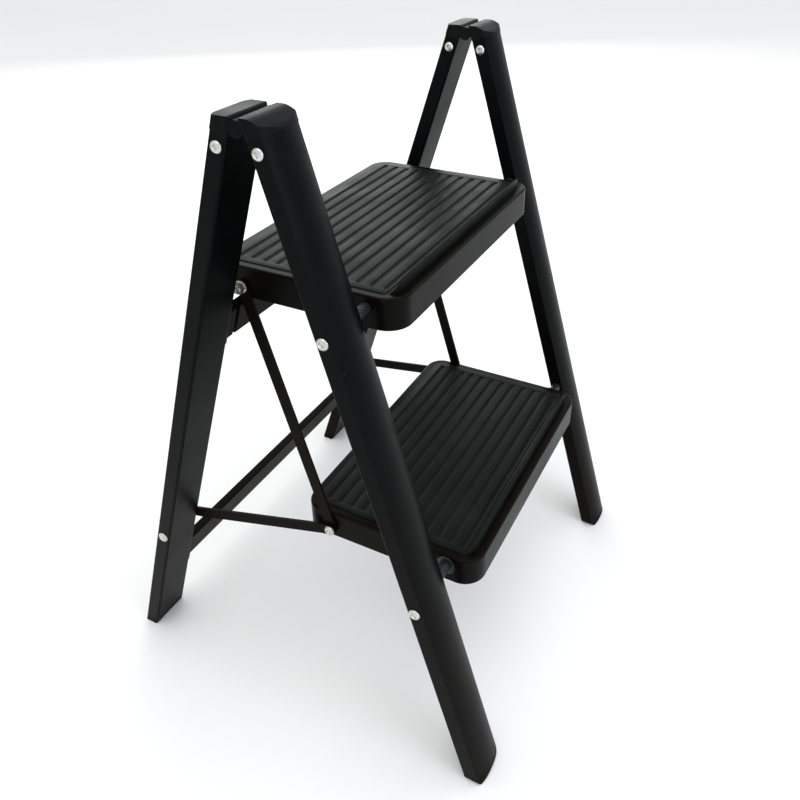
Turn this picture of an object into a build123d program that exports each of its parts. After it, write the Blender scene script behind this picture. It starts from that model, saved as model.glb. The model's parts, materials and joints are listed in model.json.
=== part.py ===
"""Folding two-step stool: a front frame that carries two ribbed steps, a rear frame hinged to
it at the top, and flat-bar links that swing the steps and the rear frame together.

Axes: X runs across the stool, -Y is the side a person steps on from, +Z is up.
The origin is on the floor, at the middle of the footprint. All sizes are in millimetres.
"""
from build123d import *
import os
from math import asin, atan2, cos, degrees, hypot, radians, sin, tan

# ---------------------------------------------------------------- driving dimensions
overall_width = 440.0       # over the outer faces of the legs
hinge_height = 630.5        # hinge axis above the floor
front_lean = 16.2           # front legs, degrees from upright
rear_lean = 18.4            # rear legs, degrees from upright

leg_width = 45.0            # leg tube, across
leg_strip = 15.5            # depth of the leg's flat side
leg_crown = 5.5             # rise of its rounded outer face
leg_wall = 1.5
face_offset = 5.4           # flat inner face of each leg to the hinge axis
foot_lip = 8.0              # visible height of the plastic foot
foot_round = 5.5            # rounding of its lower edges
foot_plug = 34.0            # length of the foot inside the tube

step_depth = 194.0
step_skirt = 30.0
step_side_gap = 20.0        # leg to step skirt, on each side
step_front_radius = 22.0
step_rear_radius = 20.0
sheet = 1.5                 # pressed steel
rim_width = 9.0             # pan rim round the tread
rim_depth = 1.2             # how far the tread sits down in the pan
tread_proud = 0.8           # tread above the pan rim
groove_count = 12
groove_pitch = 13.8
groove_width = 6.0
groove_depth = 1.3
groove_margin = 7.0         # tread edge to the groove ends

upper_pivot_drop = 169.9    # upper step pivot, down the front leg from the hinge axis
lower_pivot_drop = 441.9
cap_rivet_drop = 19.9
pivot_below_top = 11.0      # step pivot below the step's rim
pivot_from_front = 32.0     # step pivot behind the step's front edge
link_reach = 127.5          # link pivot behind the step pivot
link_below = 8.0            # link pivot below the step pivot

link_width = 12.0
link_thickness = 2.5
bolt_radius = 4.0           # step pivot bolts
pin_radius = 3.0            # link pivots
rivet_radius = 2.5          # cap rivets
head_radius = 5.6
cap_head_radius = 5.1       # heads of the cap rivets
head_height = 2.6
spacer_radius = 5.5

knuckle_radius = 6.8
cap_seam = 8.9              # cap seam below the hinge axis, along the leg
cap_top = 8.7               # cap top above the hinge axis
cap_slot_round = 3.4        # rear cap's edge beside the slot
cap_back_round = 4.0        # rear cap's outer edge
cap_dome = 3.6              # how far the front cap's top falls by the leg's crease
cap_proud = 0.5             # cap outside the tube
cap_plug = 30.0             # length of the cap inside the tube
cap_slot = 6.6              # gap between front and rear caps when the stool is open
pin_cover = 3.0             # cap left over each end of the hinge pin

bar_front = 11.0            # crossbar's front face, from the hinge axis like face_offset
bar_depth = 9.5
bar_height = 35.0
upper_bar_drop = 239.0      # lower edge of the upper crossbar, down the rear leg
lower_bar_drop = 587.0
ear_thickness = 2.0
groove_play = 1.2           # upper crossbar to the step link, each side

# named clearances
running = 0.05              # radial, a shaft in a hole that turns
side_play = 0.4             # between plates that swing past each other
relief = 0.4                # round a knuckle of the other cap
plug_play = 0.05            # plug inside a tube
fold_play = 0.5             # link to spacer when folded

# ---------------------------------------------------------------- derived places
outer = overall_width / 2
inner = outer - leg_width
step_half = inner - step_side_gap
leg_depth = leg_strip + leg_crown
rivet_offset = face_offset + leg_strip / 2


def leg_reach(lean, offset, height):
    """How far from the hinge axis, along Y, a line of the leg is at this height."""
    t = radians(lean)
    return (hinge_height - height) * tan(t) + offset / cos(t)


def foot_reach(lean):
    """Furthest point of a foot whose lower edges are rounded."""
    return leg_reach(lean, face_offset + leg_depth - foot_round, foot_round) + foot_round


hinge_y = (foot_reach(front_lean) - foot_reach(rear_lean)) / 2
hinge_yz = (hinge_y, hinge_height)
SIDES = {"left": -1, "right": 1}


def on_leg(front, drop, offset):
    """(y, z) of a point this far down a leg and this far outward from the hinge axis."""
    t = radians(front_lean if front else rear_lean)
    way = -1 if front else 1
    return (hinge_y + way * (sin(t) * drop + cos(t) * offset),
            hinge_height - cos(t) * drop + sin(t) * offset)


def leg_plane(front, side, drop):
    """Cross-section plane of a leg: local Y is outward from the hinge, local Z runs down."""
    t = radians(front_lean if front else rear_lean)
    way = -1 if front else 1
    down = Vector(0, way * sin(t), -cos(t))
    origin = Vector(side * (outer - leg_width / 2), hinge_y, hinge_height) + down * drop
    return Plane(origin=origin, x_dir=(1 if front else -1, 0, 0), z_dir=down)


def pivot_plane(point, side, from_middle):
    """Plane square to X at a pivot (y, z), facing outward on the given side."""
    return Plane(origin=(side * from_middle, point[0], point[1]), x_dir=(0, 1, 0),
                 z_dir=(side, 0, 0))


def disc(point, side, start, end, radius, mode=Mode.ADD):
    """Round bar or hole along X between two distances from the middle of the stool."""
    with BuildSketch(pivot_plane(point, side, start)) as profile:
        Circle(radius)
    extrude(profile.sketch, amount=end - start, mode=mode)


def hexagon(point, side, start, end, across_flats):
    with BuildSketch(pivot_plane(point, side, start)) as profile:
        RegularPolygon(across_flats / 2, 6, major_radius=False)
    extrude(profile.sketch, amount=end - start)


def head(point, side, face, outward=1, radius=head_radius):
    """Low button head with a dimple, sitting on a face at this distance from the middle."""
    step = outward * head_height
    with BuildSketch(pivot_plane(point, side, face)) as rim:
        Circle(radius)
    with BuildSketch(pivot_plane(point, side, face + step * 0.45)) as crown:
        Circle(radius)
    with BuildSketch(pivot_plane(point, side, face + step)) as dimple:
        Circle(1.9)
    extrude(rim.sketch, amount=step * 0.45)
    extrude(crown.sketch, amount=step * 0.55, taper=38)
    extrude(dimple.sketch, amount=-step * 0.3, taper=30, mode=Mode.SUBTRACT)


def leg_outline():
    """Outer outline of a leg tube: flat inner face, flat sides, rounded outer face."""
    half = leg_width / 2
    strip = face_offset + leg_strip
    with BuildLine() as outline:
        Polyline((-half, strip), (-half, face_offset), (half, face_offset), (half, strip))
        ThreePointArc((half, strip), (0, strip + leg_crown), (-half, strip))
    make_face(outline.edges())
    flat = vertices().group_by(Axis.Y)[0]
    fillet(flat, radius=2.5)


cap_rivet = {f: on_leg(f, cap_rivet_drop, rivet_offset) for f in (True, False)}
upper_pivot = on_leg(True, upper_pivot_drop, rivet_offset)
lower_pivot = on_leg(True, lower_pivot_drop, rivet_offset)
upper_link_pivot = (upper_pivot[0] + link_reach, upper_pivot[1] - link_below)
lower_link_pivot = (lower_pivot[0] + link_reach, lower_pivot[1] - link_below)

# When folded, each step link lies against the spacer of the upper step pivot,
# and the rear legs lie parallel to the front legs.
link_radius = hypot(link_reach, link_below)
fold_gap_angle = degrees(asin((link_width / 2 + spacer_radius + fold_play) / link_radius))
step_fold = 90 - front_lean - fold_gap_angle + degrees(atan2(link_below, link_reach))
frame_fold = front_lean + rear_lean


def turned(point, centre, angle):
    """Point (y, z) turned about a centre, positive from +Y towards +Z."""
    a = radians(angle)
    dy, dz = point[0] - centre[0], point[1] - centre[1]
    return (centre[0] + cos(a) * dy - sin(a) * dz, centre[1] + sin(a) * dy + cos(a) * dz)


def brace_drop():
    """How far down the rear leg the brace link must be pinned, so that its length is the
    same with the stool open and with it folded."""
    folded_link_pivot = turned(lower_link_pivot, lower_pivot, step_fold)
    rows = []
    for angle, target in ((0, lower_link_pivot), (-frame_fold, folded_link_pivot)):
        top = turned(on_leg(False, 0, rivet_offset), hinge_yz, angle)
        low = turned(on_leg(False, 1, rivet_offset), hinge_yz, angle)
        way = (low[0] - top[0], low[1] - top[1])
        gap = (top[0] - target[0], top[1] - target[1])
        rows.append((2 * (way[0] * gap[0] + way[1] * gap[1]), gap[0] ** 2 + gap[1] ** 2))
    (b_open, c_open), (b_fold, c_fold) = rows
    return (c_fold - c_open) / (b_open - b_fold)


brace_pivot_drop = brace_drop()
brace_pivot = on_leg(False, brace_pivot_drop, rivet_offset)


def heading(start, end):
    return degrees(atan2(end[1] - start[1], end[0] - start[0]))


# Turn of the brace link against the lower step, from open to folded (always negative).
folded_heading = heading(turned(lower_link_pivot, lower_pivot, step_fold),
                         turned(brace_pivot, hinge_yz, -frame_fold))
brace_swing = folded_heading - heading(lower_link_pivot, brace_pivot) - step_fold
print("step fold", round(step_fold, 2), "frame fold", round(frame_fold, 2),
      "brace swing", round(brace_swing, 2), "brace pivot drop", round(brace_pivot_drop, 2))
for label, place in (("hinge", hinge_yz), ("upper pivot", upper_pivot),
                     ("lower pivot", lower_pivot), ("upper link pivot", upper_link_pivot),
                     ("lower link pivot", lower_link_pivot), ("brace pivot", brace_pivot)):
    print(label, [round(v, 3) for v in place])

# Layers between a leg and the step skirt, as distances from the middle of the stool.
skirt_face = step_half
link_low = skirt_face + side_play
link_high = link_low + link_thickness
brace_low = link_high + side_play
brace_high = brace_low + link_thickness
eye_high = inner - side_play
eye_low = eye_high - link_thickness

os.makedirs("parts", exist_ok=True)


def save(builder, name):
    builder.part.label = name
    export_step(builder.part, f"parts/{name}.step")


# ---------------------------------------------------------------- legs, feet and caps
def make_leg(front, side):
    """Hollow D-section tube, cut level above its foot."""
    with BuildPart() as leg:
        with BuildSketch(leg_plane(front, side, cap_seam)):
            leg_outline()
            offset(amount=-leg_wall, kind=Kind.INTERSECTION, mode=Mode.SUBTRACT)
        extrude(amount=hinge_height * 1.2)
        split(bisect_by=Plane.XY.offset(foot_lip), keep=Keep.TOP)
        holes = [(cap_rivet[front], rivet_radius, inner)]
        if front:
            holes += [(upper_pivot, bolt_radius, inner), (lower_pivot, bolt_radius, inner)]
        else:
            holes += [(brace_pivot, pin_radius, inner)]
        for place, radius, start in holes:
            disc(place, side, start - 1, outer + 1, radius, Mode.SUBTRACT)
        if not front:
            for place in bar_rivet_places():
                disc(place, side, inner - 1, inner + leg_wall + 1, 2.0, Mode.SUBTRACT)
    return leg


def make_foot(front, side):
    """Plastic foot: a lip under the tube, level with the floor, and a plug inside it."""
    with BuildPart() as plug:
        with BuildSketch(leg_plane(front, side, hinge_height * 0.8)):
            leg_outline()
            offset(amount=-leg_wall - plug_play, kind=Kind.INTERSECTION, mode=Mode.REPLACE)
        extrude(amount=hinge_height * 0.4)
        split(bisect_by=Plane.XY.offset(foot_lip + foot_plug), keep=Keep.BOTTOM)
        split(bisect_by=Plane.XY.offset(foot_lip - 3), keep=Keep.TOP)
    way = -1 if front else 1
    lean = front_lean if front else rear_lean
    with BuildPart() as foot:
        with BuildSketch(leg_plane(front, side, hinge_height * 0.9)):
            leg_outline()
        extrude(amount=hinge_height * 0.3)
        with BuildSketch(Plane.YZ.offset(-overall_width)):
            with BuildLine():
                Polyline([(hinge_y + way * leg_reach(lean, offset, height), height)
                          for offset, height in ((face_offset, 0),
                                                 (face_offset + leg_depth, 0),
                                                 (face_offset + leg_depth + 1, foot_lip),
                                                 (face_offset - 1, foot_lip))], close=True)
            make_face()
            fillet(vertices().group_by(Axis.Y)[0], radius=foot_round)
        extrude(amount=2 * overall_width, mode=Mode.INTERSECT)
        with BuildSketch(Plane.XZ.offset(-overall_width)):
            with Locations((side * (outer - leg_width / 2), foot_lip)):
                RectangleRounded(leg_width + 0.04, 2 * foot_lip, foot_round)
        extrude(amount=2 * overall_width, mode=Mode.INTERSECT)
        add(plug.part)
    return foot


def knuckle_spans(front):
    """Rear caps have the two end knuckles, front caps the middle one."""
    quarter = leg_width / 4
    if front:
        return [(inner + quarter + side_play, outer - quarter - side_play)]
    return [(inner, inner + quarter), (outer - quarter, outer)]


def cap_top_edge(front):
    """Side outline of a cap's top, from the slot outwards, as (distance from the hinge axis,
    height above it). The front cap is domed; the rear one is flat with a rounded slot edge."""
    lean = front_lean if front else rear_lean
    half = cap_slot / 2
    end = leg_reach(lean, face_offset + leg_depth + cap_proud, hinge_height + cap_top)
    crease = leg_reach(lean, face_offset + leg_strip, hinge_height + cap_top - cap_dome)
    if front:
        return [(half, cap_top - 1.2), (half + 1.2, cap_top), (half + 6, cap_top),
                (crease, cap_top - cap_dome), (end + 2, cap_top - 2.2 * cap_dome)]
    return [(half, cap_top - cap_slot_round), (half + cap_slot_round, cap_top),
            (end - cap_back_round, cap_top), (end + 0.5, cap_top - cap_back_round)]


def make_cap(front, side):
    """Moulded leg cap: rounded top, hinge knuckles and a plug riveted inside the tube."""
    way = -1 if front else 1
    points = [(hinge_y + way * out, hinge_height + up) for out, up in cap_top_edge(front)]
    far = hinge_y + way * 90
    with BuildPart() as cap:
        with BuildSketch(leg_plane(front, side, cap_seam)):
            leg_outline()
            offset(amount=cap_proud, kind=Kind.ARC, mode=Mode.REPLACE)
        extrude(amount=-60)
        with BuildSketch(Plane.YZ.offset(-overall_width)):
            with BuildLine():
                Line((points[0][0], hinge_height - 60), points[0])
                TangentArc(points[0], points[1], tangent=(0, 1))
                Line(points[1], points[2])
                if front:
                    Spline(points[2], points[3], points[4], tangents=((way, 0), (way, -0.9)))
                else:
                    TangentArc(points[2], points[3], tangent=(way, 0))
                Polyline(points[-1], (far, points[-1][1] - 5), (far, hinge_height - 60),
                         (points[0][0], hinge_height - 60))
            make_face()
        extrude(amount=2 * overall_width, mode=Mode.INTERSECT)
        with BuildSketch(leg_plane(front, side, cap_seam - 0.01)):
            leg_outline()
            offset(amount=-leg_wall - plug_play, kind=Kind.INTERSECTION, mode=Mode.REPLACE)
        extrude(amount=cap_plug)
        for start, end in knuckle_spans(front):
            disc(hinge_yz, side, start, end, knuckle_radius)
        for start, end in knuckle_spans(not front):
            disc(hinge_yz, side, start - side_play, end + side_play,
                 knuckle_radius + relief, Mode.SUBTRACT)
        hole = rivet_radius if front else rivet_radius + running
        disc(hinge_yz, side, inner + pin_cover, outer - pin_cover, hole, Mode.SUBTRACT)
        disc(cap_rivet[front], side, inner - 1, outer + 1, rivet_radius, Mode.SUBTRACT)
    return cap


def bar_rivet_places():
    """Two blind rivets through each ear of both crossbars."""
    places = []
    for drop in (upper_bar_drop, lower_bar_drop):
        for up in (0.28, 0.72):
            places.append(on_leg(False, drop - bar_height * up, bar_front + bar_depth * 0.58))
    return places


for front, frame_name in ((True, "front"), (False, "rear")):
    for side_name, side in SIDES.items():
        save(make_leg(front, side), f"{frame_name}_leg_{side_name}")
        save(make_foot(front, side), f"{frame_name}_foot_{side_name}")
        save(make_cap(front, side), f"{frame_name}_cap_{side_name}")

for front, frame_name in ((True, "front"), (False, "rear")):
    with BuildPart() as cap_rivets:
        for side in SIDES.values():
            disc(cap_rivet[front], side, inner, outer, rivet_radius)
            head(cap_rivet[front], side, outer, radius=cap_head_radius)
            head(cap_rivet[front], side, inner, outward=-1, radius=cap_head_radius)
    save(cap_rivets, f"{frame_name}_cap_rivets")

with BuildPart() as hinge_pins:
    for side in SIDES.values():
        disc(hinge_yz, side, inner + pin_cover + side_play, outer - pin_cover - side_play,
             rivet_radius)
save(hinge_pins, "hinge_pins")


# ---------------------------------------------------------------- steps
def make_pan(pivot):
    """Pressed steel step pan: rounded corners, deep skirt and a recess for the tread."""
    front_edge = pivot[0] - pivot_from_front
    top = pivot[1] + pivot_below_top
    link_pivot = (pivot[0] + link_reach, pivot[1] - link_below)

    def outline(inset):
        with Locations((0, front_edge + step_depth / 2)):
            Rectangle(2 * (step_half - inset), step_depth - 2 * inset)
        fillet(vertices().group_by(Axis.Y)[0], radius=step_front_radius - inset)
        fillet(vertices().group_by(Axis.Y)[-1], radius=step_rear_radius - inset)

    with BuildPart() as pan:
        with BuildSketch(Plane.XY.offset(top - step_skirt)):
            outline(0)
        extrude(amount=step_skirt)
        fillet(pan.faces().sort_by(Axis.Z)[-1].edges(), radius=2.5)
        with BuildSketch(Plane.XY.offset(top - rim_depth)):
            outline(rim_width)
        extrude(amount=rim_depth + 1, mode=Mode.SUBTRACT)
        with BuildSketch(Plane.XY.offset(top - step_skirt)):
            outline(sheet)
        extrude(amount=step_skirt - sheet - rim_depth, mode=Mode.SUBTRACT)
        for side in SIDES.values():
            disc(pivot, side, step_half - 5, step_half + 1, bolt_radius + running, Mode.SUBTRACT)
            disc(link_pivot, side, step_half - 5, step_half + 1, pin_radius, Mode.SUBTRACT)
    with BuildPart() as tread:
        with BuildSketch(Plane.XY.offset(top - rim_depth)):
            outline(rim_width + plug_play)
        extrude(amount=rim_depth + tread_proud)
        fillet(tread.faces().sort_by(Axis.Z)[-1].edges(), radius=0.7)
        with BuildSketch(Plane.XY.offset(top + tread_proud)):
            first = front_edge + step_depth / 2 - groove_pitch * (groove_count - 1) / 2
            for index in range(groove_count):
                with Locations((0, first + index * groove_pitch)):
                    SlotOverall(2 * (step_half - rim_width - groove_margin), groove_width)
        extrude(amount=-groove_depth, taper=35, mode=Mode.SUBTRACT)
    with BuildPart() as stiffener:
        middle = front_edge + step_depth / 2
        under = top - rim_depth - sheet
        half = step_half - sheet - 6
        with BuildSketch(Plane.YZ.offset(-half)):
            with BuildLine():
                Polyline((middle - 34, under), (middle - 34, under - 1.2),
                         (middle - 21, under - 1.2), (middle - 17, under - 13),
                         (middle + 17, under - 13), (middle + 21, under - 1.2),
                         (middle + 34, under - 1.2), (middle + 34, under),
                         (middle + 20, under), (middle + 16, under - 11.8),
                         (middle - 16, under - 11.8), (middle - 20, under), close=True)
            make_face()
        extrude(amount=2 * half)
    return pan, tread, stiffener


for step_name, pivot in (("upper", upper_pivot), ("lower", lower_pivot)):
    pan, tread, stiffener = make_pan(pivot)
    save(pan, f"{step_name}_step_pan")
    save(tread, f"{step_name}_step_tread")
    save(stiffener, f"{step_name}_step_stiffener")

for step_name, pivot in (("upper", upper_pivot), ("lower", lower_pivot)):
    with BuildPart() as bolts:
        for side in SIDES.values():
            disc(pivot, side, step_half - sheet - side_play - 8, outer, bolt_radius)
            head(pivot, side, outer)
    save(bolts, f"{step_name}_pivot_bolts")
    with BuildPart() as spacers:
        for side in SIDES.values():
            disc(pivot, side, skirt_face + side_play, inner, spacer_radius)
            if step_name == "lower":
                disc(pivot, side, skirt_face + side_play, skirt_face + side_play + 1.2,
                     head_radius * 1.8)
            disc(pivot, side, skirt_face, inner + 1, bolt_radius, Mode.SUBTRACT)
    save(spacers, f"{step_name}_pivot_spacers")
    with BuildPart() as nuts:
        nut_face = step_half - sheet - side_play
        for side in SIDES.values():
            hexagon(pivot, side, nut_face - 1.2 - 6.5, nut_face - 1.2, 13.0)
            disc(pivot, side, nut_face - 1.2, nut_face, 8.0)
            disc(pivot, side, nut_face - 9, nut_face + 1, bolt_radius, Mode.SUBTRACT)
    save(nuts, f"{step_name}_pivot_nuts")

# The upper link pivots are screws with a bright nut outside; the lower ones are rivets
# long enough to take both the step link and the brace link.
with BuildPart() as upper_link_screws:
    for side in SIDES.values():
        disc(upper_link_pivot, side, step_half - sheet, brace_low + 7.0, pin_radius)
        head(upper_link_pivot, side, step_half - sheet, outward=-1)
save(upper_link_screws, "upper_link_screws")
with BuildPart() as upper_link_nuts:
    for side in SIDES.values():
        disc(upper_link_pivot, side, brace_low, brace_low + 1.0, 6.2)
        hexagon(upper_link_pivot, side, brace_low + 1.0, brace_low + 6.0, 10.0)
        disc(upper_link_pivot, side, brace_low - 1, brace_low + 8, pin_radius, Mode.SUBTRACT)
save(upper_link_nuts, "upper_link_nuts")
with BuildPart() as lower_link_rivets:
    for side in SIDES.values():
        disc(lower_link_pivot, side, step_half - sheet, brace_high + side_play, pin_radius)
        head(lower_link_pivot, side, brace_high + side_play)
        head(lower_link_pivot, side, step_half - sheet, outward=-1)
save(lower_link_rivets, "lower_link_rivets")


# ---------------------------------------------------------------- links
def link_plane(start, end, side, from_middle):
    """Plane of a flat link: local X runs from its first pivot to its second."""
    return Plane(origin=(side * from_middle, start[0], start[1]),
                 x_dir=(0, end[0] - start[0], end[1] - start[1]), z_dir=(side, 0, 0))


def make_step_link(side):
    """Straight flat bar that keeps the two steps parallel."""
    length = hypot(upper_link_pivot[0] - lower_link_pivot[0],
                   upper_link_pivot[1] - lower_link_pivot[1])
    with BuildPart() as link:
        with BuildSketch(link_plane(upper_link_pivot, lower_link_pivot, side, link_low)):
            with Locations((length / 2, 0)):
                SlotCenterToCenter(length, link_width)
            with Locations((0, 0), (length, 0)):
                Circle(pin_radius + running, mode=Mode.SUBTRACT)
        extrude(amount=link_thickness)
    return link


def make_brace_link(side):
    """Flat bar from the lower step to the rear leg, toed outward between its flat eyes."""
    length = hypot(brace_pivot[0] - lower_link_pivot[0], brace_pivot[1] - lower_link_pivot[1])
    flat = link_plane(lower_link_pivot, brace_pivot, side, 0)
    edge_on = Plane(origin=flat.origin, x_dir=flat.x_dir, z_dir=flat.y_dir)
    out = 1 if edge_on.y_dir.dot(Vector(side, 0, 0)) > 0 else -1
    end = link_width / 2
    bend_in, bend_out = end + 6, length - end - 6
    with BuildPart() as link:
        with BuildSketch(edge_on):
            with BuildLine():
                Polyline((-end, out * brace_low), (bend_in, out * brace_low),
                         (bend_out, out * eye_low), (length + end, out * eye_low),
                         (length + end, out * eye_high), (bend_out - 1, out * eye_high),
                         (bend_in - 1, out * brace_high), (-end, out * brace_high), close=True)
            make_face()
        extrude(amount=link_width / 2, both=True)
        with BuildSketch(link_plane(lower_link_pivot, brace_pivot, side, brace_low - 1)):
            with Locations((length / 2, 0)):
                SlotCenterToCenter(length, link_width)
        extrude(amount=eye_high - brace_low + 2, mode=Mode.INTERSECT)
        disc(lower_link_pivot, side, brace_low - 1, brace_high + 1, pin_radius + running,
             Mode.SUBTRACT)
        disc(brace_pivot, side, eye_low - 1, eye_high + 1, pin_radius, Mode.SUBTRACT)
    with BuildPart() as stub:
        disc(brace_pivot, side, eye_low, eye_high, pin_radius)
        head(brace_pivot, side, eye_low, outward=-1)
    return link, stub


for side_name, side in SIDES.items():
    save(make_step_link(side), f"step_link_{side_name}")
    brace, stub = make_brace_link(side)
    save(brace, f"brace_link_{side_name}")
    save(stub, f"brace_eye_rivet_{side_name}")

with BuildPart() as brace_leg_rivets:
    for side in SIDES.values():
        disc(brace_pivot, side, inner, outer, pin_radius)
        head(brace_pivot, side, outer)
save(brace_leg_rivets, "brace_leg_rivets")


# ---------------------------------------------------------------- rear crossbars
def make_crossbar(drop, grooved):
    """Pressed channel from leg to leg, open to the rear, with an ear at each end.

    The upper one has a groove pressed in at each end, where the step links swing past.
    """
    t = radians(rear_lean)
    section = Plane(origin=(0, hinge_y, hinge_height), x_dir=(0, cos(t), sin(t)),
                    z_dir=(1, 0, 0))
    low, high = -drop, -drop + bar_height
    back = bar_front + bar_depth
    reach = inner - ear_thickness
    ear_front = face_offset + 1.5

    def block(start, end, front, rear, bottom, top, mode=Mode.ADD):
        with BuildSketch(section.offset(min(start, end))) as outline:
            with Locations(((front + rear) / 2, (bottom + top) / 2)):
                Rectangle(rear - front, top - bottom)
        extrude(outline.sketch, amount=abs(end - start), mode=mode)

    with BuildPart() as bar:
        with BuildSketch(section.offset(-reach)):
            with BuildLine():
                Polyline((back, low), (bar_front, low), (bar_front, high), (back, high),
                         (back, high - sheet), (bar_front + sheet, high - sheet),
                         (bar_front + sheet, low + sheet), (back, low + sheet), close=True)
            make_face()
            fillet(vertices().group_by(Axis.X)[0], radius=2.5)
        extrude(amount=2 * reach)
        for side in SIDES.values():
            if grooved:
                near, wide = side * (link_low - groove_play), side * (link_high + groove_play)
                block(near - side * sheet, wide + side * sheet, bar_front + sheet, back + sheet,
                      low + 0.2, high - 0.2)
                block(near, wide, bar_front - 1, back, low - 1, high + 1, Mode.SUBTRACT)
            with BuildSketch(section.offset(min(side * reach, side * inner))):
                with Locations(((ear_front + back) / 2, (low + high) / 2)):
                    RectangleRounded(back - ear_front, bar_height + 1.0, 3.0)
            extrude(amount=ear_thickness)
            for place in bar_rivet_places():
                disc(place, side, inner - 4, inner + 1, 2.0, Mode.SUBTRACT)
    return bar


save(make_crossbar(upper_bar_drop, True), "upper_crossbar")
save(make_crossbar(lower_bar_drop, False), "lower_crossbar")

with BuildPart() as crossbar_rivets:
    for side in SIDES.values():
        for place in bar_rivet_places():
            disc(place, side, inner - ear_thickness, inner + leg_wall + 1.5, 2.0)
            disc(place, side, inner - ear_thickness - 1.3, inner - ear_thickness, 3.6)
save(crossbar_rivets, "crossbar_rivets")
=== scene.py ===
# %% [markdown]
# A folding two-step stool in black. The measured frame gives every solid in its place, in
# metres, with X across the stool, -Y the side a person climbs from and +Z up. This lesson
# gives each solid a real finish and remodels the small pieces whose shape shows most.

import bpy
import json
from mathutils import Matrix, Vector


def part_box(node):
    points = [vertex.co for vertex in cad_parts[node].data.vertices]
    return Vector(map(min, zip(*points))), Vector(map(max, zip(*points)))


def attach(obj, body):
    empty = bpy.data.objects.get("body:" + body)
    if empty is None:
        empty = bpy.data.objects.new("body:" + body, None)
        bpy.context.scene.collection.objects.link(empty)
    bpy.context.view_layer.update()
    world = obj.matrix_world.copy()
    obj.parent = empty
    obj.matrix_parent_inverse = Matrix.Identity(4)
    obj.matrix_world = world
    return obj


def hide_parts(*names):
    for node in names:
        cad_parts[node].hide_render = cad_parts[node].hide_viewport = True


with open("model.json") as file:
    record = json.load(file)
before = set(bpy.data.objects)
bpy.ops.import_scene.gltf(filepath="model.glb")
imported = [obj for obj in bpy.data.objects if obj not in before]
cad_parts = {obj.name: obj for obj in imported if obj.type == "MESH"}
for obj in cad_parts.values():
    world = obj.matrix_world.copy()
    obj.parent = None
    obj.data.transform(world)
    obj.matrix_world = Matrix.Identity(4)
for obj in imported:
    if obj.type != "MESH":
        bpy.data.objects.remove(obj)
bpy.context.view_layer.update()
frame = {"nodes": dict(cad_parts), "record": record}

import json
from math import cos, radians, sin

import bpy
from mathutils import Matrix, Vector

# %% [markdown]
# The loaded solids are all selected, and an operator acts on whatever is selected. So each
# new piece starts from an empty selection.

# %% Start from an empty selection
MM = 0.001


def clear_selection():
    if bpy.context.object and bpy.context.object.mode != "OBJECT":
        bpy.ops.object.mode_set(mode="OBJECT")
    bpy.ops.object.select_all(action="DESELECT")


clear_selection()
print("selected", len(bpy.context.selected_objects))

# %% [markdown]
# The camera stands near the left front corner of the stool and looks down at it by about
# thirty degrees, the way a standing person sees it. It is turned a little on its own axis.

# %% Camera
view_azimuth, view_elevation, view_roll = radians(-61.3), radians(29.5), radians(-1.3)
back = Vector((sin(view_azimuth) * cos(view_elevation),
               -cos(view_azimuth) * cos(view_elevation), sin(view_elevation)))
level = Vector((cos(view_azimuth), sin(view_azimuth), 0))
upright = back.cross(level)
right = cos(view_roll) * level + sin(view_roll) * upright
up = cos(view_roll) * upright - sin(view_roll) * level

camera_data = bpy.data.cameras.new("camera")
camera_data.sensor_width = 36
camera_data.lens = 35.36
camera_data.shift_y = -0.106
camera = bpy.data.objects.new("camera", camera_data)
bpy.context.scene.collection.objects.link(camera)
turn = Matrix((right, up, back)).transposed()
camera.matrix_world = Matrix.Translation((-0.6414, -0.3722, 0.7855)) @ turn.to_4x4()
bpy.context.scene.camera = camera
print("camera", [round(v, 3) for v in camera.matrix_world.translation])

# %% [markdown]
# Black paint shows mostly what it mirrors, so the lights are large and soft. A broad light
# behind the stool lays a sheen on the steps and caps. A cool one in front draws the crease
# of the front legs. The floor is pale and plain.

# %% Floor and lights
clear_selection()
bpy.ops.mesh.primitive_plane_add(size=60, location=(0, 0, 0))
floor = bpy.context.object
floor.name = "floor"


def soft_light(name, place, aim, width, height, power, color):
    lamp_data = bpy.data.lights.new(name, "AREA")
    lamp_data.shape = "RECTANGLE"
    lamp_data.size, lamp_data.size_y = width, height
    lamp_data.energy = power
    lamp_data.color = color
    lamp = bpy.data.objects.new(name, lamp_data)
    bpy.context.scene.collection.objects.link(lamp)
    lamp.location = place
    lamp.rotation_euler = (Vector(aim) - Vector(place)).to_track_quat("-Z", "Y").to_euler()
    return lamp


soft_light("sheen_light", (2.6, 1.7, 1.35), (0, 0, 0.5), 2.6, 1.3, 30, (0.96, 1.0, 0.97))
soft_light("window_light", (-0.5, -2.8, 1.3), (0, 0, 0.4), 1.4, 1.2, 22, (0.72, 0.85, 1.0))
soft_light("ceiling_light", (-0.4, -0.2, 3.2), (0, 0, 0), 3.0, 3.0, 40, (1.0, 0.99, 0.97))

world = bpy.data.worlds.new("studio")
bpy.context.scene.world = world
world.use_nodes = True
world.node_tree.nodes["Background"].inputs["Color"].default_value = (0.97, 0.98, 1.0, 1)
world.node_tree.nodes["Background"].inputs["Strength"].default_value = 1.0
bpy.context.scene.view_settings.view_transform = "Standard"

# %% [markdown]
# A finish is built from a few repeated node groups: patterns read Object coordinates, so they
# stay on the solid, colours are blended by a pattern, and fine relief goes to the bump input.


# %% Helpers for finishes
def new_finish(name, metallic=0.0, specular=0.5):
    material = bpy.data.materials.new(name + "_finish")
    material.use_nodes = True
    shader = material.node_tree.nodes["Principled BSDF"]
    shader.inputs["Metallic"].default_value = metallic
    shader.inputs["Specular IOR Level"].default_value = specular
    return material, material.node_tree, shader


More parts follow.
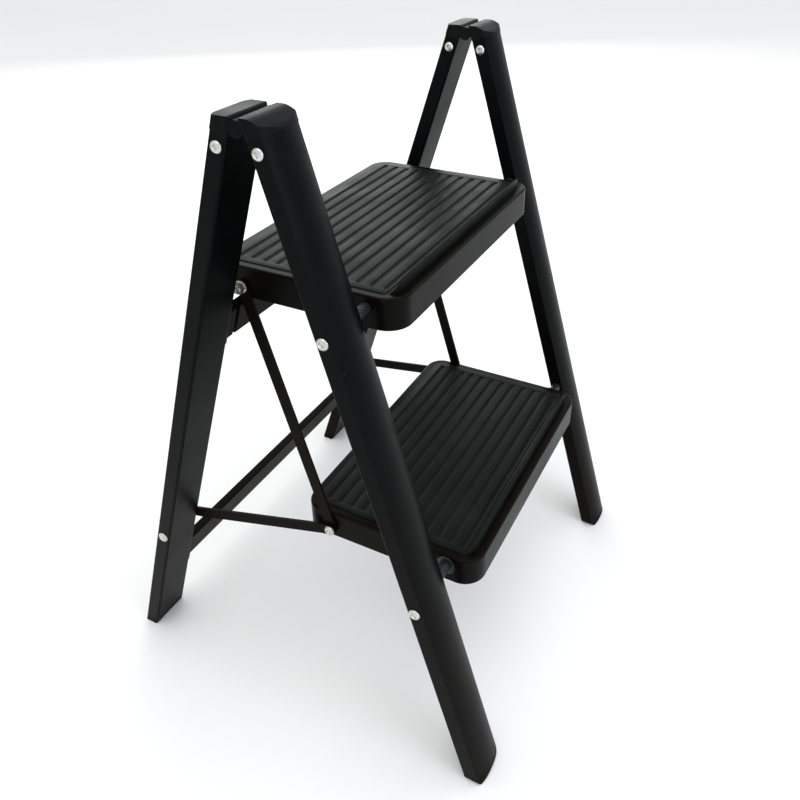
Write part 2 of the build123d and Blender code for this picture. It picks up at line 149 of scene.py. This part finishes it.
def place_on_piece(tree, stretch=(1, 1, 1)):
    """Object coordinates, stretched where a pattern runs along one way."""
    coordinates = tree.nodes.new("ShaderNodeTexCoord")
    mapping = tree.nodes.new("ShaderNodeMapping")
    mapping.inputs["Scale"].default_value = stretch
    tree.links.new(coordinates.outputs["Object"], mapping.inputs["Vector"])
    return mapping.outputs["Vector"]


def noise(tree, scale, detail=3.0, stretch=(1, 1, 1), distortion=0.0):
    texture = tree.nodes.new("ShaderNodeTexNoise")
    texture.inputs["Scale"].default_value = scale
    texture.inputs["Detail"].default_value = detail
    texture.inputs["Distortion"].default_value = distortion
    tree.links.new(place_on_piece(tree, stretch), texture.inputs["Vector"])
    return texture.outputs["Fac"]


def cells(tree, scale, feature="F1"):
    texture = tree.nodes.new("ShaderNodeTexVoronoi")
    texture.feature = feature
    texture.inputs["Scale"].default_value = scale
    tree.links.new(place_on_piece(tree), texture.inputs["Vector"])
    return texture.outputs["Distance"]


def spread(tree, source, low, high, new_low=0.0, new_high=1.0):
    """Stretches the part of a pattern between low and high over a new range."""
    node = tree.nodes.new("ShaderNodeMapRange")
    for key, value in (("From Min", low), ("From Max", high), ("To Min", new_low),
                       ("To Max", new_high)):
        node.inputs[key].default_value = value
    tree.links.new(source, node.inputs["Value"])
    return node.outputs["Result"]


def combine(tree, operation, first, second):
    node = tree.nodes.new("ShaderNodeMath")
    node.operation = operation
    for place, value in enumerate((first, second)):
        if isinstance(value, (int, float)):
            node.inputs[place].default_value = value
        else:
            tree.links.new(value, node.inputs[place])
    return node.outputs["Value"]


def tint(tree, factor, first, second):
    """A colour between two others; each is a colour or another tint."""
    node = tree.nodes.new("ShaderNodeMix")
    node.data_type = "RGBA"
    for key, value in (("A", first), ("B", second)):
        socket = [s for s in node.inputs if s.name == key and s.type == "RGBA"][0]
        if isinstance(value, tuple):
            socket.default_value = (*value, 1)
        else:
            tree.links.new(value, socket)
    tree.links.new(factor, node.inputs["Factor"])
    return [s for s in node.outputs if s.type == "RGBA"][0]


def relief(tree, shader, *layers):
    """Chains bump layers of (pattern, height in metres)."""
    normal = None
    for pattern, height in layers:
        bump = tree.nodes.new("ShaderNodeBump")
        bump.inputs["Strength"].default_value = 1.0
        bump.inputs["Distance"].default_value = height
        tree.links.new(pattern, bump.inputs["Height"])
        if normal is not None:
            tree.links.new(normal, bump.inputs["Normal"])
        normal = bump.outputs["Normal"]
    tree.links.new(normal, shader.inputs["Normal"])


def height_share(tree, low, high):
    """0 at one height above the floor and 1 at another."""
    split = tree.nodes.new("ShaderNodeSeparateXYZ")
    tree.links.new(place_on_piece(tree), split.inputs["Vector"])
    return spread(tree, split.outputs["Z"], low, high)


print("finish helpers ready")

# %% [markdown]
# Powder coat is sprayed dry and baked, so it has a fine pebbled skin, soft clouds of gloss and
# the odd speck of dust. It could be one flat black, but the clouds and the pebble are what make
# a highlight look like paint. The tone warms towards the floor as a painted reflection of the
# warm floor.


# %% Powder coat
def powder_coat(name, tone, floor_reflection_tone, gloss, specks=0.745, specular=0.05):
    material, tree, shader = new_finish(name, specular=specular)
    clouds = noise(tree, 5.5, 4)
    # Painted reflection: lower down the colour turns warm brown, standing in for the warm floor
    # mirrored in the paint.
    painted_reflection_share = height_share(tree, 0.42, 0.02)
    share = combine(tree, "MULTIPLY", painted_reflection_share, spread(tree, clouds, 0.25, 0.75, 0.35, 1.0))
    color = tint(tree, share, tone, floor_reflection_tone)
    dust = spread(tree, noise(tree, 520, 2), specks, specks + 0.025)
    film = spread(tree, noise(tree, 38, 5, distortion=0.6), 0.5, 0.95, 0.0, 0.05)
    lit = tuple(min(1.0, v * 9 + 0.02) for v in tone)
    color = tint(tree, combine(tree, "MAXIMUM", dust, film), color, lit)
    tree.links.new(color, shader.inputs["Base Color"])
    gloss_clouds = spread(tree, noise(tree, 16, 5), 0.3, 0.7, gloss - 0.04, gloss + 0.05)
    tree.links.new(gloss_clouds, shader.inputs["Roughness"])
    relief(tree, shader, (noise(tree, 1500, 2), 0.000035), (noise(tree, 240, 2), 0.00005))
    return material


# The second colour of each paint is its painted reflection of the warm floor, used near the
# ground.
leg_paint = powder_coat("leg_paint", (0.0016, 0.0018, 0.0021), (0.0040, 0.0026, 0.0017), 0.36)
bar_paint = powder_coat("bar_paint", (0.0030, 0.0024, 0.0018), (0.0048, 0.0034, 0.0022), 0.42)
pan_paint = powder_coat("pan_paint", (0.0026, 0.0023, 0.0019), (0.0038, 0.0029, 0.0021), 0.32)
print("paints", [m.name for m in (leg_paint, bar_paint, pan_paint)])

# %% [markdown]
# The caps, feet and tread mats are moulded. Their skin copies the tool: a fine cell grain, less
# gloss than paint, and a thin grey bloom where hands and shoes rub it.


# %% Moulded plastic
def moulded(name, tone, bloom, rough, grain_scale, grain_depth, specular=0.05):
    material, tree, shader = new_finish(name, specular=specular)
    rubbed = spread(tree, noise(tree, 14, 5, distortion=0.4), 0.42, 0.72)
    color = tint(tree, rubbed, tone, bloom)
    dust = spread(tree, noise(tree, 430, 2), 0.73, 0.76)
    color = tint(tree, dust, color, tuple(v * 6 + 0.02 for v in tone))
    tree.links.new(color, shader.inputs["Base Color"])
    tree.links.new(spread(tree, noise(tree, 26, 4), 0.3, 0.7, rough - 0.06, rough + 0.07),
                   shader.inputs["Roughness"])
    relief(tree, shader, (cells(tree, grain_scale), grain_depth),
           (noise(tree, 120, 3), 0.00006))
    return material


tread_plastic = moulded("tread_plastic", (0.0045, 0.0050, 0.0046), (0.0090, 0.0098, 0.0090),
                        0.44, 900, 0.00006)
cap_plastic = moulded("cap_plastic", (0.0025, 0.0032, 0.0034), (0.0060, 0.0070, 0.0068),
                      0.42, 1100, 0.00004)
foot_plastic = moulded("foot_plastic", (0.0030, 0.0026, 0.0021), (0.0090, 0.0070, 0.0050),
                       0.55, 800, 0.00006)
print("plastics", [m.name for m in (tread_plastic, cap_plastic, foot_plastic)])

# %% [markdown]
# Rivets and nuts are zinc plated steel: bright, with turning marks and a slightly yellow haze.
# The pivot bolts' spacers are blackened steel, oily and half metal.


# %% Plated and blackened steel
def plated(name, tone, haze, rough, metallic):
    material, tree, shader = new_finish(name, metallic=metallic)
    patches = spread(tree, noise(tree, 160, 4), 0.35, 0.75)
    tree.links.new(tint(tree, patches, tone, haze), shader.inputs["Base Color"])
    marks = spread(tree, noise(tree, 900, 3), 0.3, 0.7, rough - 0.08, rough + 0.12)
    tree.links.new(marks, shader.inputs["Roughness"])
    relief(tree, shader, (noise(tree, 1300, 3), 0.00002), (noise(tree, 330, 2), 0.00003))
    return material


zinc = plated("zinc", (0.66, 0.66, 0.64), (0.48, 0.46, 0.41), 0.30, 1.0)
black_steel = plated("black_steel", (0.020, 0.021, 0.024), (0.040, 0.038, 0.038), 0.34, 0.6)
print("metals", [m.name for m in (zinc, black_steel)])

# %% [markdown]
# The record names the material slot of each solid, so a table from slot to finish is enough.

# %% Give each solid the finish of its own slot
finishes = {"leg_paint": leg_paint, "bar_paint": bar_paint, "pan_paint": pan_paint,
            "tread_plastic": tread_plastic, "cap_plastic": cap_plastic,
            "foot_plastic": foot_plastic, "zinc": zinc, "black_steel": black_steel}
slot_of = {part["node"]: part["material_slot"] for part in frame["record"]["subparts"]}
for node_name, solid in frame["nodes"].items():
    for place in solid.material_slots:
        place.material = finishes[slot_of[node_name]]
print("finished solids", len(slot_of))

# %% [markdown]
# Each step carries a moulded mat with twelve round-bottomed grooves that end in a spoon shape.
# The grooves could be painted on as bump, but from the side their lips catch real light. So
# the mat starts as a plate the size of the measured one, its corners and top edge are
# bevelled, and twelve capsule-shaped cutters are taken out of it. This has a known fault: the
# finished mat has a ridge along its front edge, 10 mm high, which the real mat doesn't have.


# %% Size of the mat and its grooves
def node_box(node_name):
    low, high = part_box(node_name)
    return Vector(low), Vector(high)


groove_count, groove_pitch = 12, 13.8 * MM
groove_depth, groove_half = 1.3 * MM, 3.0 * MM
groove_margin = 7 * MM
mat_front_radius, mat_rear_radius = 13 * MM, 11 * MM
mat_top_edge, groove_lip = 0.7 * MM, 0.35 * MM
cutter_radius = (groove_half ** 2 + groove_depth ** 2) / (2 * groove_depth)
print("cutter radius mm", round(cutter_radius / MM, 2))


# %% Helpers for picking parts of a mesh
def pick(piece, kind, wanted):
    """Selects the vertices, edges or faces of a piece that a test wants."""
    bpy.ops.object.mode_set(mode="OBJECT")
    mesh = piece.data
    for group in (mesh.vertices, mesh.edges, mesh.polygons):
        group.foreach_set("select", [False] * len(group))
    chosen = [item for item in getattr(mesh, kind) if wanted(item)]
    for item in chosen:
        item.select = True
    bpy.ops.object.mode_set(mode="EDIT")
    mode = {"vertices": "VERT", "edges": "EDGE", "polygons": "FACE"}[kind]
    bpy.ops.mesh.select_mode(type=mode)
    return len(chosen)


def ends(piece, edge):
    return [piece.data.vertices[index].co for index in edge.vertices]


def settle(piece, name):
    """Leaves edit mode and puts the piece's place into its mesh."""
    bpy.ops.object.mode_set(mode="OBJECT")
    clear_selection()
    piece.select_set(True)
    bpy.context.view_layer.objects.active = piece
    bpy.ops.object.transform_apply(location=True, rotation=True, scale=True)
    piece.name = name
    piece.data.name = name
    return piece


print("mesh helpers ready")


# %% Mat plate
def mat_plate(low, high):
    clear_selection()
    bpy.ops.mesh.primitive_cube_add(size=1, location=(low + high) / 2, scale=high - low)
    plate = bpy.context.object
    settle(plate, "mat_plate")
    for at_front, radius in ((True, mat_front_radius), (False, mat_rear_radius)):
        middle = (low.y + high.y) / 2
        pick(plate, "edges", lambda edge: (
            abs(ends(plate, edge)[0].z - ends(plate, edge)[1].z) > MM
            and (ends(plate, edge)[0].y < middle) == at_front))
        bpy.ops.mesh.bevel(offset=radius, segments=10, profile=0.5)
    pick(plate, "edges", lambda edge: all(end.z > high.z - 0.01 * MM
                                          for end in ends(plate, edge)))
    bpy.ops.mesh.bevel(offset=mat_top_edge, segments=3, profile=0.5)
    bpy.ops.object.mode_set(mode="OBJECT")
    return plate


# %% Groove cutter
def groove_cutter(low, high):
    """Twelve capsules in one mesh: a ball whose one half is drawn out along X."""
    clear_selection()
    reach = (high.x - low.x) / 2 - groove_margin - groove_half
    first = (low.y + high.y) / 2 - groove_pitch * (groove_count - 1) / 2
    height = high.z + cutter_radius - groove_depth
    bpy.ops.mesh.primitive_uv_sphere_add(segments=40, ring_count=20, radius=cutter_radius,
                                         location=(-reach, first, height),
                                         rotation=(0, radians(90), 0))
    cutter = bpy.context.object
    settle(cutter, "groove_cutter")
    pick(cutter, "polygons", lambda face: face.center.x > -reach)
    bpy.ops.mesh.extrude_region_move(TRANSFORM_OT_translate={"value": (2 * reach, 0, 0)})
    for step in range(1, groove_count):
        pick(cutter, "vertices", lambda vertex: abs(vertex.co.y - first - groove_pitch * (
            step - 1)) < groove_pitch / 2)
        bpy.ops.mesh.duplicate_move(TRANSFORM_OT_translate={"value": (0, groove_pitch, 0)})
    bpy.ops.object.mode_set(mode="OBJECT")
    return cutter


# %% Make one mat and copy it to the other step
def grooved_mat(node_name):
    low, high = node_box(node_name)
    plate, cutter = mat_plate(low, high), groove_cutter(low, high)
    cut = plate.modifiers.new("grooves", "BOOLEAN")
    cut.operation, cut.solver, cut.object = "DIFFERENCE", "EXACT", cutter
    soften = plate.modifiers.new("lips", "BEVEL")
    soften.limit_method, soften.angle_limit = "ANGLE", radians(32)
    soften.width, soften.segments = groove_lip, 2
    clear_selection()
    plate.select_set(True)
    bpy.context.view_layer.objects.active = plate
    for modifier in ("grooves", "lips"):
        bpy.ops.object.modifier_apply(modifier=modifier)
    bpy.ops.object.shade_smooth_by_angle(angle=radians(35))
    bpy.data.objects.remove(cutter)
    return plate


def finish_piece(piece, node_name, material):
    piece.data.materials.clear()
    piece.data.materials.append(material)
    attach(piece, body_of_node[node_name])
    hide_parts(node_name)


bodies = frame["record"]["behaviour"]["bodies"]
body_of_node = {node_name: body for body in bodies for node_name in bodies[body]}
upper_mat = settle(grooved_mat("upper_step_tread"), "upper_step_mat")
down = node_box("lower_step_tread")[0] - node_box("upper_step_tread")[0]
lower_mat = upper_mat.copy()
lower_mat.data = upper_mat.data.copy()
lower_mat.data.transform(Matrix.Translation(down))
lower_mat.name = lower_mat.data.name = "lower_step_mat"
bpy.context.scene.collection.objects.link(lower_mat)
for mat, node_name in ((upper_mat, "upper_step_tread"), (lower_mat, "lower_step_tread")):
    finish_piece(mat, node_name, tread_plastic)
print("mats", len(upper_mat.data.polygons), "faces each")

# %% [markdown]
# Rivet heads are upset by a shaped punch: a low dome with a small hollow in the middle. They
# could be spheres pushed into the leg, but the hollow and the flat rim are what the eye reads.
# One head is drawn up from a circle, ring by ring, at each of its places.

# %% Profile of a rivet head
# Each pair is a share of the head's radius and of its height, from the rim inwards.
HEAD_RINGS = ((1.0, 0.24), (0.97, 0.40), (0.90, 0.58), (0.78, 0.78), (0.64, 0.93), (0.52, 1.0),
              (0.46, 0.99), (0.41, 0.86), (0.33, 0.52), (0.22, 0.42), (0.16, 0.50), (0.08, 0.56))


def domed_head(place, radius, height, toward):
    """A head that sits on the face at this place and looks along +X or -X."""
    clear_selection()
    bpy.ops.mesh.primitive_circle_add(vertices=40, radius=radius, fill_type="NOTHING")
    piece = bpy.context.object
    bpy.ops.object.mode_set(mode="EDIT")
    bpy.ops.mesh.select_all(action="SELECT")
    last_share, last_rise = 1.0, 0.0
    for share, rise in HEAD_RINGS:
        bpy.ops.mesh.extrude_region_move(
            TRANSFORM_OT_translate={"value": (0, 0, (rise - last_rise) * height)})
        bpy.ops.transform.resize(value=(share / last_share, share / last_share, 1),
                                 center_override=(0, 0, rise * height))
        last_share, last_rise = share, rise
    bpy.ops.mesh.edge_face_add()
    bpy.ops.mesh.select_all(action="SELECT")
    bpy.ops.mesh.normals_make_consistent(inside=False)
    bpy.ops.object.mode_set(mode="OBJECT")
    piece.rotation_euler = (0, radians(90 * toward), 0)
    piece.location = place
    return settle(piece, "head")


def shank(start, end, radius):
    """Round bar along X between two points, with a small chamfer at each end."""
    clear_selection()
    bpy.ops.mesh.primitive_cylinder_add(vertices=40, radius=radius,
                                        depth=abs(end.x - start.x),
                                        location=(start + end) / 2,
                                        rotation=(0, radians(90), 0))
    piece = settle(bpy.context.object, "shank")
    pick(piece, "edges", lambda edge: abs(ends(piece, edge)[0].x - ends(piece, edge)[1].x)
         < 0.01 * MM)
    bpy.ops.mesh.bevel(offset=0.25 * MM, segments=2)
    bpy.ops.object.mode_set(mode="OBJECT")
    return piece


print("rings in a head", len(HEAD_RINGS))


# %% Fasteners that show a head
def fastener_set(node_name, name, shank_radius, head_height, inner_head, inner_reach):
    """Both sides' copies of a fastener, as one piece that stands for one node.

    inner_reach is how far from the middle of the stool the fastener starts, without its head.
    """
    low, high = node_box(node_name)
    radius = (high.z - low.z) / 2
    middle_y, middle_z = (low.y + high.y) / 2, (low.z + high.z) / 2
    pieces = []
    for side in (-1, 1):
        face = Vector((side * (high.x - head_height), middle_y, middle_z))
        start = Vector((side * inner_reach, middle_y, middle_z))
        pieces.append(shank(start, face, shank_radius))
        pieces.append(domed_head(face, radius, head_height, side))
        if inner_head:
            pieces.append(domed_head(start, radius, head_height, -side))
    clear_selection()
    for piece in pieces:
        piece.select_set(True)
    bpy.context.view_layer.objects.active = pieces[0]
    bpy.ops.object.join()
    whole = settle(pieces[0], name)
    bpy.ops.object.shade_smooth_by_angle(angle=radians(40))
    finish_piece(whole, node_name, finishes[slot_of[node_name]])
    return whole


leg_inner = abs(node_box("front_leg_left")[1].x)
pan_half = node_box("upper_step_pan")[1].x
HEAD_HEIGHT = 2.6 * MM
pan_sheet = 1.5 * MM
bolt_start = pan_half - 9.9 * MM        # the bolt ends inside its lock nut
rivet_start = pan_half - pan_sheet
fasteners = [
    fastener_set("front_cap_rivets", "front_cap_rivet_set", 2.5 * MM, HEAD_HEIGHT, True,
                 leg_inner),
    fastener_set("rear_cap_rivets", "rear_cap_rivet_set", 2.5 * MM, HEAD_HEIGHT, True,
                 leg_inner),
    fastener_set("upper_pivot_bolts", "upper_pivot_bolt_set", 4 * MM, HEAD_HEIGHT, False,
                 bolt_start),
    fastener_set("lower_pivot_bolts", "lower_pivot_bolt_set", 4 * MM, HEAD_HEIGHT, False,
                 bolt_start),
    fastener_set("brace_leg_rivets", "brace_leg_rivet_set", 3 * MM, HEAD_HEIGHT, False,
                 leg_inner),
    fastener_set("lower_link_rivets", "lower_link_rivet_set", 3 * MM, HEAD_HEIGHT, True,
                 rivet_start)]
print("fastener sets", len(fasteners))

# %% [markdown]
# The floor is a plain pale studio floor, with only slow, faint changes of tone.

# %% Floor finish
floor_finish, floor_tree, floor_shader = new_finish("floor", specular=0.2)
floor_tree.links.new(tint(floor_tree, noise(floor_tree, 0.8, 2), (0.80, 0.80, 0.79),
                          (0.86, 0.86, 0.85)), floor_shader.inputs["Base Color"])
floor_shader.inputs["Roughness"].default_value = 0.7
floor.data.materials.append(floor_finish)
